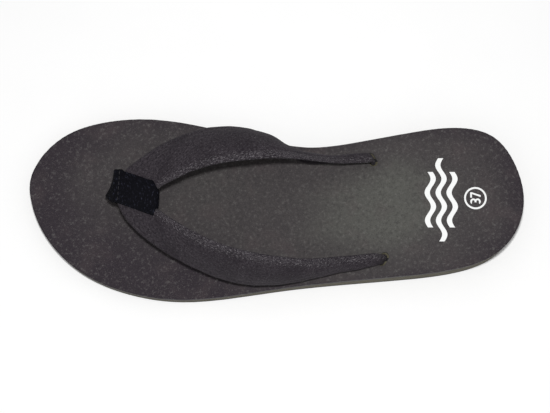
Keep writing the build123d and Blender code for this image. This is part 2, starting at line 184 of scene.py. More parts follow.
def smooth_rows(values, sigma, wrap=False):
    """Gaussian smoothing along the first axis, keeping the ends in place."""
    reach = max(1, int(3 * sigma))
    weights = np.exp(-0.5 * (np.arange(-reach, reach + 1) / sigma) ** 2)
    weights /= weights.sum()
    if wrap:
        padded = np.concatenate([values[-reach:], values, values[:reach]])
    else:
        first = 2 * values[0] - values[1:reach + 1][::-1]
        last = 2 * values[-1] - values[-reach - 1:-1][::-1]
        padded = np.concatenate([first, values, last])
    return sum(w * padded[i:i + len(values)] for i, w in enumerate(weights))


def lumps(places, *layers):
    """Noise at each place, as the sum of layers given by strength and scale."""
    return np.array([sum(a * noise.noise(Vector(p) * scale) for a, scale in layers) for p in places])


def new_mesh(name, points, faces, weld=0.0):
    """A smooth-shaded mesh object in the row frame."""
    mesh = bpy.data.meshes.new(name)
    mesh.from_pydata([tuple(map(float, p)) for p in points], [], faces)
    piece = bpy.data.objects.new(name, mesh)
    bpy.context.scene.collection.objects.link(piece)
    solid = bmesh.new()
    solid.from_mesh(mesh)
    if weld:
        bmesh.ops.remove_doubles(solid, verts=solid.verts, dist=weld)
    bmesh.ops.recalc_face_normals(solid, faces=solid.faces)
    solid.to_mesh(mesh)
    solid.free()
    shade_smooth(piece)
    return piece


def shade_smooth(piece):
    """Smooth shading on every face."""
    piece.data.polygons.foreach_set("use_smooth", [True] * len(piece.data.polygons))


def store(piece, name, values):
    """A vector kept on each point, for the material to read."""
    attribute = piece.data.attributes.new(name, "FLOAT_VECTOR", "POINT")
    attribute.data.foreach_set("vector", np.asarray(values, np.float32).ravel())


def dress(piece, material):
    """Gives a piece its one material."""
    piece.data.materials.clear()
    piece.data.materials.append(material)


def apply_modifiers(piece):
    """Bakes a piece's modifiers into its mesh."""
    graph = bpy.context.evaluated_depsgraph_get()
    mesh = bpy.data.meshes.new_from_object(piece.evaluated_get(graph))
    piece.modifiers.clear()
    old = piece.data
    piece.data = mesh
    bpy.data.meshes.remove(old)


def cut_away(piece, cutters):
    """Boolean difference with closed cutters, which are then removed."""
    for cutter in cutters:
        modifier = piece.modifiers.new("cut", "BOOLEAN")
        modifier.object = cutter
        modifier.operation = "DIFFERENCE"
        modifier.solver = "EXACT"
    bpy.context.view_layer.update()
    apply_modifiers(piece)
    for cutter in cutters:
        bpy.data.objects.remove(cutter)


def surfaces(*objects):
    """Search trees of objects, for casting rays at them."""
    graph = bpy.context.evaluated_depsgraph_get()
    return [BVHTree.FromObject(piece, graph) for piece in objects]


def hit_heights(trees, start, up):
    """Heights where a vertical ray meets each tree."""
    found = [tree.ray_cast(Vector(start), Vector((0, 0, up)))[0] for tree in trees]
    return [place.z for place in found if place is not None]


def welded(name):
    """A CAD node as one connected bmesh."""
    solid = bmesh.new()
    solid.from_mesh(NODES[name].data)
    bmesh.ops.remove_doubles(solid, verts=solid.verts, dist=1e-6)
    return solid


def cut_loops(solid, point, normal):
    """The closed outlines where a plane cuts a solid."""
    cut = solid.copy()
    bmesh.ops.bisect_plane(
        cut, geom=cut.verts[:] + cut.edges[:] + cut.faces[:], dist=1e-8,
        plane_co=Vector(point), plane_no=Vector(normal), clear_inner=True, clear_outer=True,
    )
    unused = dict.fromkeys(cut.edges)  # in the mesh's own order, so that every run walks alike
    loops = []
    while unused:
        edge = unused.popitem()[0]
        chain = [edge.verts[0], edge.verts[1]]
        while True:
            ahead = [e for e in chain[-1].link_edges if e in unused]
            if not ahead:
                break
            unused.pop(ahead[0])
            chain.append(ahead[0].other_vert(chain[-1]))
        loops.append(np.array([v.co for v in chain]))
    cut.free()
    return loops


def grid_faces(rows, columns, wrap_columns=False):
    """Quads over a grid of points stored row by row."""
    faces = []
    for i in range(rows - 1):
        for j in range(columns if wrap_columns else columns - 1):
            k = (j + 1) % columns
            a, b = i * columns, (i + 1) * columns
            faces.append((a + j, a + k, b + k, b + j))
    return faces


# ---- the sole's outline and heights, read from the CAD ----
class Sole:
    """Outline and layer heights of the sole."""

    def __init__(self):
        self.flex = Vector(JOINTS["toe_flex"]["pos_m"])
        self.outsole_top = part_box("outsole_rear")[1].z
        corners = []
        for name in ("outsole_rear", "outsole_front"):
            solid = welded(name)
            for loop in cut_loops(solid, (0, 0, self.outsole_top * 0.8), (0, 0, 1)):
                corners += [p for p in loop if abs(p[0] - self.flex.x) > 0.2 * MM]
            solid.free()
        corners = np.array(corners)[:, :2]
        x, y = (corners - corners.mean(0)).T
        corners = corners[np.argsort(np.arctan2(y, x))]
        closed = np.vstack([corners, corners[:1]])
        even = resample(closed, OUTLINE_POINTS)[:-1]
        self.outline = smooth_rows(even, OUTLINE_SMOOTHING, wrap=True)
        x = self.outline[:, 0]
        front, back = int(np.argmax(x)), int(np.argmin(x))
        around = np.roll(self.outline, -front, axis=0)
        split = (back - front) % len(around)
        self.lateral = around[:split + 1][::-1]
        self.medial = np.vstack([around[split:], around[:1]])
        self.tip_back, self.tip_front = x.min(), x.max()
        trees = surfaces(NODES["footbed_rear"], NODES["footbed_front"])
        self.sample_x = np.linspace(self.tip_back + TIP_MARGIN, self.tip_front - TIP_MARGIN, HEIGHT_SAMPLES)
        self.sample_top = np.array([max(self._hits(trees, x, HIGH_UP, -1)) for x in self.sample_x])
        self.sample_low = np.array([min(self._hits(trees, x, 0.0, 1)) for x in self.sample_x])

    def _hits(self, trees, x, z, up):
        """Heights where rays at a few places across the sole meet the footbed."""
        medial, lateral = self.sides(x)
        found = []
        for share in (0.3, 0.42, 0.5, 0.62, 0.72, 0.86):
            found += hit_heights(trees, (x + 0.02 * MM, medial + (lateral - medial) * share, z), up)
        return found

    def top(self, x):
        """Height of the footbed's top."""
        return np.interp(x, self.sample_x, self.sample_top)

    def footbed_low(self, x):
        """Height of the glue line between footbed and midsole."""
        return np.interp(x, self.sample_x, self.sample_low)

    def outsole_high(self, x):
        """Height of the glue line between midsole and outsole."""
        return np.full_like(x, self.outsole_top)

    def sides(self, x):
        """Medial and lateral y of the edge at x."""
        return tuple(np.interp(x, edge[:, 0], edge[:, 1]) for edge in (self.medial, self.lateral))

    def edge_distance(self, xy):
        """Distance of each point from the outline."""
        result = np.empty(len(xy))
        batch = 4000
        for start in range(0, len(xy), batch):
            gap = xy[start:start + batch, None, :] - self.outline[None, ::2, :]
            result[start:start + batch] = np.sqrt((gap ** 2).sum(2).min(1))
        return result


def round_edge(distance, radius):
    """How far a rounded edge drops at a distance in from the side."""
    inside = np.clip(radius - distance, 0, radius)
    return radius - np.sqrt(np.maximum(radius ** 2 - inside ** 2, 0))


def sheet_grid(sole, columns, middle, extra_x):
    """Points over the sole's outline in rows across it: x, y and the distance from the edge."""
    turn = (np.arange(STATIONS) + 0.5) / STATIONS * math.pi
    x = sole.tip_back + (sole.tip_front - sole.tip_back) * (1 - np.cos(turn)) / 2
    x = np.unique(np.concatenate([x, extra_x]))
    medial, lateral = sole.sides(x)
    inset = np.array(columns) * MM
    share = np.linspace(0, 1, middle + 2)[1:-1]
    rows = []
    for m, w in zip(medial, lateral - medial):
        near = inset * min(1.0, w / (2.6 * inset[-1]))
        rows.append(m + np.concatenate([near, near[-1] + (w - 2 * near[-1]) * share, w - near[::-1]]))
    y = np.array(rows)
    xx = np.repeat(x[:, None], y.shape[1], 1)
    distance = sole.edge_distance(np.stack([xx.ravel(), y.ravel()], 1)).reshape(y.shape)
    distance[:, 0] = distance[:, -1] = 0
    distance[0] = distance[-1] = 0
    return xx, y, distance


def border_of(rows, columns):
    """Indices round the rim of a grid."""
    border = [i * columns for i in range(rows)]
    border += [(rows - 1) * columns + j for j in range(1, columns)]
    border += [i * columns + columns - 1 for i in range(rows - 2, -1, -1)]
    return np.array(border + list(range(columns - 2, 0, -1)))


def sheet(name, sole, heights, rims, columns, middle, wall_rows, extra_x=(), shape_top=None, shape_low=None):
    """A closed sheet with the sole's outline, between two heights given as functions of x."""
    x, y, distance = sheet_grid(sole, columns, middle, extra_x)
    under = heights[0](x) + round_edge(distance, rims[0])
    top = heights[1](x) - round_edge(distance, rims[1])
    if shape_top:
        top = top + shape_top(x, y, distance)
    if shape_low:
        under = under + shape_low(x, y, distance)
    points = [np.stack([x, y, z], 2).reshape(-1, 3) for z in (top, under)]
    grid = np.array(grid_faces(*x.shape))
    faces = [tuple(f) for f in grid] + [tuple(f[::-1] + x.size) for f in grid]
    border = border_of(*x.shape)
    top_rim, low_rim = points[0][border], points[1][border]
    ahead = np.roll(top_rim, -3, 0)[:, :2] - np.roll(top_rim, 3, 0)[:, :2]
    outward = unit(np.stack([-ahead[:, 1], ahead[:, 0]], 1))
    to_centre = top_rim[:, :2] - top_rim[:, :2].mean(0)
    outward *= np.sign((outward * to_centre).sum(1).mean())
    previous = border
    for row in range(wall_rows):
        ring = top_rim + (low_rim - top_rim) * (row + 1) / (wall_rows + 1)
        ring[:, :2] += outward * lumps(ring, (WALL_ROUGHNESS, 420))[:, None]
        current = 2 * x.size + row * len(border) + np.arange(len(border))
        points.append(ring)
        faces += wall_faces(previous, current)
        previous = current
    faces += wall_faces(previous, border + x.size)
    return new_mesh(name, np.concatenate(points), faces, weld=0.05 * MM)


def wall_faces(upper, lower):
    """A ring of quads between two closed rows of points."""
    corners = zip(upper, lower, np.roll(lower, -1), np.roll(upper, -1))
    return [tuple(int(c) for c in quad) for quad in corners]


def slot_cutter(centre, size, turn, low, high):
    """A round-ended slot to cut through foam."""
    half_length, half_width = size[0] / 2, size[1] / 2
    radius = half_width * 0.98
    corners = []
    for side in (1, -1):
        for angle in np.radians(np.linspace(-90, 90, 9)):
            out = half_length - radius + radius * math.cos(angle)
            corners.append((side * out, side * radius * math.sin(angle)))
    c, s = math.cos(turn), math.sin(turn)
    points = []
    for z in (low, high):
        points += [(centre[0] + c * a - s * b, centre[1] + s * a + c * b, z) for a, b in corners]
    n = len(corners)
    faces = [tuple(range(n))[::-1], tuple(range(n, 2 * n))]
    faces += [(i, (i + 1) % n, n + (i + 1) % n, n + i) for i in range(n)]
    return new_mesh("cutter", points, faces)


# ---- strap geometry, read from the CAD ----
def long_sides(loop):
    """The two long sides of a strap section, between its sharp corners."""
    step = np.linalg.norm(loop - np.roll(loop, 1, 0), axis=1)
    loop = loop[step > 0.03 * MM]
    back, ahead = loop - np.roll(loop, 1, 0), np.roll(loop, -1, 0) - loop
    straight = (unit(back) * unit(ahead)).sum(1)
    corners = np.sort(np.argsort(straight)[:4])
    doubled = np.vstack([loop, loop])
    ends = [*corners[1:], corners[0] + len(loop)]
    sides = [doubled[a:b + 1] for a, b in zip(corners, ends)]
    sides.sort(key=lambda side: lengths(side)[-1])
    return sides[-2:]


def strap_curves(solids, point, normal, side, rear=None):
    """Outer and inner face of the strap on one plane, each from its front edge to its rear edge."""
    found = []
    for solid in solids:
        loops = [l for l in cut_loops(solid, point, normal) if len(l) > 7]
        loops = [l for l in loops if side * (l[:, 1].mean() - point[1]) > -12 * MM]
        if not loops:
            return None
        found += long_sides(max(loops, key=lambda l: lengths(l)[-1]))
    foot = np.array([np.mean([f[:, 0].mean() for f in found]), 0.0, 12 * MM])
    found.sort(key=lambda f: np.linalg.norm(f[len(f) // 2] - foot))
    curves = []
    for curve in (found[-1], found[0]):
        first, last = curve[0], curve[-1]
        if rear is None:
            lean = abs(first[1]) - first[2] - abs(last[1]) + last[2]
        else:
            lean = np.linalg.norm(first[:2] - rear[:2]) - np.linalg.norm(last[:2] - rear[:2])
        curves.append(curve if lean > 0 else curve[::-1])
    return curves


def arm_sections(side_name):
    """Outer and inner faces of an arm, section by section from under the wrap to the tail."""
    side = SIDES[side_name]
    joint = JOINTS[f"{side_name}_swing"]
    start, along = Vector(joint["pos_m"]), Vector(joint["axis"]).normalized()
    arm = [welded(f"{side_name}_cover"), welded(f"{side_name}_lining")]
    front = [welded("strap_junction")]
    low = max(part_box(f"{side_name}_{layer}")[0].x for layer in ("cover", "lining"))
    reach = (start.x - low - 4.5 * MM) / abs(along.x)
    steps = int(reach / SLICE_STEP)
    places = [start + along * (0.4 * MM + reach * i / steps) for i in range(steps + 1)]
    chord = [strap_curves(arm, place, along, side) for place in places]
    rear_edge = (chord[0][0][-1] + chord[0][1][-1]) / 2
    pivot = Vector(rear_edge) - Vector((0.3 * MM, side * 2.4 * MM, 0))
    fan = []
    fan_angle = FAN_ANGLE[side_name]
    fan_steps = int(fan_angle * FAN_PER_DEGREE)
    for i in range(fan_steps, 0, -1):
        turned = Matrix.Rotation(math.radians(-side * fan_angle * i / fan_steps), 3, "Z")
        normal = turned @ Vector((along.x, along.y, 0))
        curves = strap_curves(front, pivot, normal.normalized(), side, rear_edge)
        if curves is not None:
            fan.append(curves)
    for solid in arm + front:
        solid.free()
    return [np.array([resample(pair[face], ACROSS) for pair in fan + chord]) for face in (0, 1)]


def median_rows(values):
    """Each row replaced by the middle of itself and its neighbours, so a stray section drops out."""
    inner = np.median(np.stack([values[:-2], values[1:-1], values[2:]]), axis=0)
    return np.concatenate([values[:1], inner, values[-1:]])


def even_sections(outer, inner):
    """Sections smoothed along the arm and spaced evenly."""
    outer, inner = (smooth_rows(median_rows(rows), SMOOTH_ALONG) for rows in (outer, inner))
    walked = lengths((outer.mean(1) + inner.mean(1)) / 2)
    at = np.linspace(0, walked[-1], int(walked[-1] / RING_STEP) + 1)
    spread = []
    for rows in (outer, inner):
        flat = pick(at, walked, rows.reshape(len(rows), -1))
        spread.append(smooth_rows(flat.reshape(-1, *rows.shape[1:]), 1.5))
    return spread


def flatter(outer, inner):
    """The medial arm stands on edge towards its tail, so its arch is eased out there."""
    kept = np.interp(outer.mean(1)[:, 0] / MM, ARCH_X, ARCH_KEPT)[:, None, None]
    share = np.linspace(0, 1, ACROSS)[None, :, None]
    faces = []
    for rows in (outer, inner):
        chord = rows[:, :1] + (rows[:, -1:] - rows[:, :1]) * share
        faces.append(chord + (rows - chord) * kept)
    return faces


def tail_centre(side_name):
    """Where a tail goes into the footbed, in plan."""
    low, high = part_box(f"{side_name}_anchor_webbing")
    return (low.x + high.x) / 2 + TAIL_SHIFT[side_name], (low.y + high.y) / 2


def tail_sections(side_name, sole, outer, inner):
    """Sections that carry the tail down into its slot in the footbed."""
    side = SIDES[side_name]
    x, y = tail_centre(side_name)
    across = np.linspace(TAIL_HALF_WIDTH, -TAIL_HALF_WIDTH, ACROSS)
    depth = float(sole.top(x)) - DENT_DEPTH - TAIL_DEPTH
    c, s = math.cos(TAIL_TURN), math.sin(TAIL_TURN)
    ends = []
    for out in (TAIL_HALF_THICKNESS, -TAIL_HALF_THICKNESS):
        plan = (x + across * c - out * s, y + side * (across * s + out * c))
        ends.append(np.stack([*plan, np.full(ACROSS, depth)], 1))
    gap = np.linalg.norm((ends[0] + ends[1] - outer[-1] - inner[-1]).mean(0)) / 2
    steps = max(6, int(gap / RING_STEP))
    made = []
    for rows, end in ((outer, ends[0]), (inner, ends[1])):
        first_speed = unit(rows[-1] - rows[-3]) * gap * 0.9
        last_speed = np.array([0, 0, -1.0]) * gap * 1.1
        extra = []
        for t in np.arange(1, steps + 1) / steps:
            place = (2 * t**3 - 3 * t**2 + 1) * rows[-1] + (3 * t**2 - 2 * t**3) * end
            extra.append(place + (t**3 - 2 * t**2 + t) * first_speed + (t**3 - t**2) * last_speed)
        made.append(np.concatenate([rows, extra]))
    return made


def folded_edge(a, b, beyond, turn):
    """Points of a round fold from a to b, and its radius."""
    radius = np.linalg.norm(a - b) / 2
    bulge = np.sin(turn)[:, None] * unit(beyond) * radius
    return (a + b) / 2 + np.cos(turn)[:, None] * (a - b) / 2 + bulge, radius


def strap_profile(outer, inner):
    """Rings round the strap with folded edges, creases and swell; also the weave's coordinates.

    The weave's three coordinates are the way along the arm, the way round it, and the distance
    from the rear edge, where the cloth's light flecks crowd as painted sheen.
    """
    share = np.linspace(0, 1, ACROSS)
    turn = np.linspace(0, math.pi, CAP + 2)[1:-1]
    walked = lengths((outer.mean(1) + inner.mean(1)) / 2)
    seed = 3.7 * len(outer)
    rings, weave = [], []
    for k, way in enumerate(walked):
        w = lengths(outer[k])[-1]
        trim = min(EDGE_INSET / w, 0.2)
        at = trim + (1 - 2 * trim) * share
        o, n = pick(at, share, outer[k]), pick(at, share, inner[k])
        from_fold = np.minimum(at, 1 - at) * w - FOLD_FROM_EDGE
        strength = np.clip((w - 9 * MM) / (8 * MM), 0, 1)
        crease = -FOLD_DEPTH * strength * np.exp(-((from_fold / FOLD_WIDTH) ** 2))
        swell = PUFF * strength * np.clip(from_fold / (5 * MM), 0, 1) ** 0.5
        coarse = lumps([(way * 110, a * w * 70, seed) for a in at], (1.0, 1))
        fine = lumps([(way * 260, a * w * 200, 9.1) for a in at], (0.3, 1))
        o = o + unit(o - n) * (crease + swell + WRINKLE * (coarse + fine))[:, None]
        far, far_radius = folded_edge(o[-1], n[-1], o[-1] - o[-3], turn)
        near, near_radius = folded_edge(n[0], o[0], o[0] - o[2], turn)
        rings.append(np.concatenate([o, far, n[::-1], near]))
        lane = np.concatenate([
            at * w, w + far_radius * turn,
            w + math.pi * far_radius + (1 - at[::-1]) * w, -near_radius * turn[::-1],
        ])
        rear = np.concatenate([(1 - at) * w, np.zeros(CAP), 0.4 * at * w + 2 * MM, np.full(CAP, w)])
        weave.append(np.stack([np.full(len(lane), way), lane, rear], 1))
    return np.array(rings), np.array(weave)


def skin_rings(name, rings, weave):
    """A closed skin over rings of points, with the weave's coordinates kept on it."""
    rows, around = rings.shape[:2]
    faces = grid_faces(rows, around, wrap_columns=True)
    faces.append(tuple(range(around))[::-1])
    faces.append(tuple(range((rows - 1) * around, rows * around)))
    piece = new_mesh(name, rings.reshape(-1, 3), faces)
    store(piece, "weave", weave.reshape(-1, 3))
    return piece


def build_arm(side_name, sole, cloth, lining_cloth, thread):
    """One arm of the strap: its cover, lining and seam."""
    outer, inner = even_sections(*arm_sections(side_name))
    if side_name == "medial":
        outer, inner = flatter(outer, inner)
    outer, inner = tail_sections(side_name, sole, outer, inner)
    strap = skin_rings(f"{side_name}_strap", *strap_profile(outer, inner))
    lining = build_lining(side_name, outer, inner)
    seam = build_seam(side_name, outer, inner)
    for piece, material, slot, stood_for in (
        (strap, cloth, "strap_fabric", ("cover", "padding", "core_tape")),
        (lining, lining_cloth, "strap_lining", ("lining",)),
        (seam, thread, "thread", ("seam_stitches",)),
    ):
        dress(piece, material)
        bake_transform(piece)
        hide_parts(*(f"{side_name}_{part}" for part in stood_for))
    return strap


def build_lining(side_name, outer, inner):
    """The soft lining sewn to the foot side of the arm, inside its folded edges."""
    share = np.linspace(0, 1, ACROSS)
    rows, weave, way = [], [], 0.0
    for k in range(2, len(inner) - 4):
        width = lengths(inner[k])[-1]
        trim = min(LINING_INSET / width, 0.3)
        at = np.linspace(trim, 1 - trim, LINING_COLUMNS)
        place = pick(at, share, inner[k])
        back = unit(pick(at, share, inner[k] - outer[k]))
        edge = np.clip(np.minimum(at - at[0], at[-1] - at) / 0.04, 0, 1)
        lift = (0.12 + 0.3 * edge[:, None]) * MM
        rows.append(np.concatenate([place + back * lift, (place - back * 0.25 * MM)[::-1]]))
        way += np.linalg.norm(inner[k].mean(0) - inner[k - 1].mean(0))
        lane = np.concatenate([at, at[::-1]]) * width
        weave.append(np.stack([np.full_like(lane, way), lane, np.zeros_like(lane)], 1))
    return skin_rings(f"{side_name}_strap_lining", np.array(rows), np.array(weave))


def add_stitch(centre, along, out, length, radius, points, faces):
    """One raised stitch, added to lists of points and faces."""
    sideways = along.cross(out).normalized()
    base, n = len(points), STITCH_SIDES
    for share, size in STITCH_SHAPE:
        for step in range(n):
            turn = 2 * math.pi * step / n
            offset = sideways * math.cos(turn) + out * math.sin(turn)
            points.append(centre + along * (share * length) + offset * radius * size)
    rings = len(STITCH_SHAPE)
    faces += [tuple(base + i for i in face) for face in grid_faces(rings, n, wrap_columns=True)]
    faces.append(tuple(base + i for i in range(n))[::-1])
    faces.append(tuple(base + (rings - 1) * n + i for i in range(n)))


def stitch_row(line, outs, ends, step, sight, size, lift, points, faces):
    """A row of stitches along a line, added to lists of points and faces.

    Ends are the lengths left free, sight the way ahead that gives a stitch its direction,
    and size a stitch's length and radius.
    """
    walked = lengths(line)
    for at in np.arange(ends[0], walked[-1] - ends[1], step):
        place, ahead = Vector(pick(at, walked, line)), Vector(pick(at + sight, walked, line))
        out = Vector(pick(at, walked, outs)).normalized()
        add_stitch(place + out * lift, (ahead - place).normalized(), out, *size, points, faces)


def build_seam(side_name, outer, inner):
    """Stitches that hold the cover's folded edges down on the lining side."""
    points, faces = [], []
    share = np.linspace(0, 1, ACROSS)
    for edge in (0, 1):
        line, back = [], []
        for k in range(3, len(inner) - 5):
            at = min(SEAM_INSET / lengths(inner[k])[-1], 0.25)
            at = at if edge == 0 else 1 - at
            line.append(pick(at, share, inner[k]))
            back.append(pick(at, share, inner[k] - outer[k]))
        stitch_row(np.array(line), unit(np.array(back)), (2 * MM, 2 * MM), 3.2 * MM, 1 * MM,
                   SEAM_STITCH, 0.12 * MM, points, faces)
    return new_mesh(f"{side_name}_seam", points, faces)


# ---- toe wrap and post ----
def through(controls, steps):
    """A smooth curve through control points, a number of steps between each two."""
    points = np.vstack([2 * controls[0] - controls[1], controls, 2 * controls[-1] - controls[-2]])
    line = []
    for i in range(1, len(points) - 2):
        p0, p1, p2, p3 = points[i - 1:i + 3]
        for t in np.arange(steps) / steps:
            line.append(0.5 * (2 * p1 + (p2 - p0) * t + (2 * p0 - 5 * p1 + 4 * p2 - p3) * t**2
                               + (3 * p1 - p0 - 3 * p2 + p3) * t**3))
    line.append(points[-2])
    return np.array(line)


def post_frame(z):
    """Centre of the post at a height, and its across and forward directions there."""
    base, top = Vector(JOINTS["post_lean"]["pos_m"]), Vector(JOINTS["strap_pitch"]["pos_m"])
    centre = base.lerp(top, (z - base.z) / (top.z - base.z))
    turn = math.radians(POST_TWIST + TWIST_PER_MM * (z - base.z) / MM)
    across = Vector((math.sin(turn), math.cos(turn), 0))
    return centre, across, Vector((math.cos(turn), -math.sin(turn), 0))


def wrap_plan(share):
    """Rear and front edge of the band's top face in plan, at a share of the way across it."""
    low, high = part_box("toe_wrap")
    front = np.array([(high.x - 3.3 * MM, low.y + 0.2 * MM), (high.x - 2.3 * MM, low.y + 16.2 * MM)])
    rear = np.array(WRAP_REAR) * MM + (low.x, low.y)
    return pick(share, WRAP_REAR_SHARES, rear), pick(share, (0, 1), front)


def filled(heights):
    """A grid of heights with the gaps filled from their neighbours, smoothed."""
    for grid in (heights, heights.T):
        for row in grid:
            good = ~np.isnan(row)
            if good.any():
                row[~good] = np.interp(np.flatnonzero(~good), np.flatnonzero(good), row[good])
    return smooth_rows(smooth_rows(heights, 2.2).T, 1.8).T


def wrapped_heights(straps):
    """Places under the band's top face, and the top and underside of what it wraps there."""
    trees = surfaces(NODES["strap_junction"], *straps)
    spots = np.zeros((WRAP_ACROSS, WRAP_OVER, 2))
    top, under = np.zeros((2, WRAP_ACROSS, WRAP_OVER))
    for i in range(WRAP_ACROSS):
        rear, front = wrap_plan(i / (WRAP_ACROSS - 1))
        for j in range(WRAP_OVER):
            spots[i, j] = rear + (front - rear) * j / (WRAP_OVER - 1)
            top[i, j] = max(hit_heights(trees, (*spots[i, j], HIGH_UP), -1), default=np.nan)
            under[i, j] = min(hit_heights(trees, (*spots[i, j], UNDER_STRAPS), 1), default=np.nan)
    return spots, filled(top), filled(under)


def wrap_line(share, spots, top, under):
    """One line of the band: up the back of the post, under, round the crotch, over and down the front."""
    spread = 2 * share - 1
    rear, front = spots[0], spots[-1]
    back = unit(rear - spots[4])
    low_centre, low_across, low_ahead = post_frame(WRAP_END_Z)
    mid_centre, mid_across, mid_ahead = post_frame(WRAP_MIDDLE_Z)
    low_centre = low_centre + low_across * spread * (POST_HALF_WIDTH + 0.7 * MM)
    mid_centre = mid_centre + mid_across * spread * (POST_HALF_WIDTH + 2.9 * MM)
    stand_off = POST_HALF_THICK + WRAP_RISE
    front_mid = mid_centre + mid_ahead * (POST_HALF_THICK + FRONT_BULGE)
    line = [low_centre - low_ahead * stand_off, mid_centre - mid_ahead * (stand_off + 0.5 * MM)]
    line += [(*spots[j], under[j] - WRAP_RISE) for j in (WRAP_OVER // 2, WRAP_OVER // 4, 2)]
    edge_top, edge_under = top[0] + WRAP_RISE, under[0] - WRAP_RISE
    middle, half = (edge_top + edge_under) / 2, (edge_top - edge_under) / 2
    for swing in np.radians((-55, 0, 50)):
        reach = rear + back * CROTCH_REACH * math.cos(swing)
        line.append((*reach, middle + half * math.sin(swing)))
    line += [(*spots[j], top[j] + WRAP_RISE) for j in range(1, WRAP_OVER - 3, 4)]
    fold_z = top[-1] + WRAP_RISE
    drop = Vector((*front, fold_z)).lerp(front_mid, 0.5)
    line += [
        (*spots[-3], fold_z + 0.10 * MM),
        (front[0] + 0.4 * MM, front[1], fold_z - 0.35 * MM),
        (front[0] + 1.0 * MM, front[1], fold_z - 1.8 * MM),
        (drop.x + (1.6 - 0.6 * share) * MM, drop.y, drop.z),
        front_mid,
        low_centre + low_ahead * stand_off,
    ]
    return resample(through(np.array([tuple(p) for p in line]), 6), WRAP_AROUND)


def build_wrap(straps, cloth, thread):
    """The band round the junction of the arms, and its row of stitches."""
    shares = np.linspace(0, 1, WRAP_ACROSS)
    rows = zip(shares, *wrapped_heights(straps))
    points = smooth_rows(np.array([wrap_line(*row) for row in rows]), 0.8)
    bumps = np.array([lumps(line, (1.0, 170), (0.4, 430)) for line in points])
    points += bumps[:, :, None] * 0.22 * MM * np.array([0.4, 0.4, 1.0])
    walked = np.array([lengths(line) for line in points])
    lane = np.repeat(shares[:, None] * WRAP_WIDTH, WRAP_AROUND, 1)
    wrap = new_mesh("toe_wrap_band", points.reshape(-1, 3), grid_faces(WRAP_ACROSS, WRAP_AROUND))
    store(wrap, "weave", np.stack([walked, lane, np.zeros_like(lane)], 2).reshape(-1, 3))
    middle = WRAP_ACROSS // 2
    highest = int(np.argmax(points[middle, :, 2]))
    if wrap.data.polygons[middle * (WRAP_AROUND - 1) + highest].normal.z < 0:
        wrap.data.flip_normals()
    solid = wrap.modifiers.new("thickness", "SOLIDIFY")
    solid.thickness = WRAP_THICKNESS
    solid.offset = 1.0
    wrap.modifiers.new("rounded", "SUBSURF").levels = 1
    apply_modifiers(wrap)
    shade_smooth(wrap)
    stitches = build_wrap_stitches(points)
    for piece, material, slot, stood_for in (
        (wrap, cloth, "wrap_fabric", ("toe_wrap", "strap_junction")),
        (stitches, thread, "thread", ("wrap_stitches",)),
    ):
        dress(piece, material)
        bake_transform(piece)
        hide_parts(*stood_for)


def build_wrap_stitches(points):
    """A row of stitches across the band, just behind its front fold."""
    seam = []
    for line in points:
        near_top = line[:, 2] > line[:, 2].max() - 6 * MM
        fold = int(np.argmax(np.where(near_top, line[:, 0] + line[:, 2], -1.0)))
        seam.append(line[fold - 5])
    row = resample(smooth_rows(np.array(seam), 2.0), 60)
    verts, faces = [], []
    outs = np.tile((0.25, 0, 1), (len(row), 1))
    stitch_row(row, outs, (1.5 * MM, 1.2 * MM), 2.5 * MM, 0.8 * MM,
               WRAP_STITCH, WRAP_THICKNESS + 0.02 * MM, verts, faces)
    return new_mesh("toe_wrap_stitches", verts, faces)


def build_post(cloth):
    """The post: a flattened fabric tube that turns a little on its way down into the footbed."""
    base, top = Vector(JOINTS["post_lean"]["pos_m"]), Vector(JOINTS["strap_pitch"]["pos_m"])
    rows, weave = [], []
    first, last = base.z - 2.4 * MM, top.z + 0.4 * MM
    for z in np.linspace(first, last, POST_STEPS + 1):
        centre, across, ahead = post_frame(z)
        flare = 0.5 * MM * max(0.0, 1 - abs(z - base.z) / (2.5 * MM))
        ring, lane = [], []
        for i in range(POST_AROUND):
            angle = 2 * math.pi * i / POST_AROUND
            c, s = math.cos(angle), math.sin(angle)
            a = math.copysign(abs(c) ** 0.55, c) * POST_HALF_THICK
            a += 0.22 * MM * noise.noise(Vector((i * 0.45, z * 130, 1.3)))
            b = math.copysign(abs(s) ** 0.75, s) * (POST_HALF_WIDTH + flare)
            ring.append(tuple(centre + ahead * a + across * b))
            lane.append((z - first, angle * 4 * MM, 0))
        rows.append(ring)
        weave.append(lane)
    post = skin_rings("toe_post", np.array(rows), np.array(weave))
    dress(post, cloth)
    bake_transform(post)
    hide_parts("toe_post_sleeve", "toe_post_cord")


# ---- materials ----
def linear(colour):
    """A colour given as 0 to 255 screen values, as Blender's linear colour."""
    shares = [value / 255 for value in colour]
    return (*(v / 12.92 if v <= 0.04045 else ((v + 0.055) / 1.055) ** 2.4 for v in shares), 1.0)


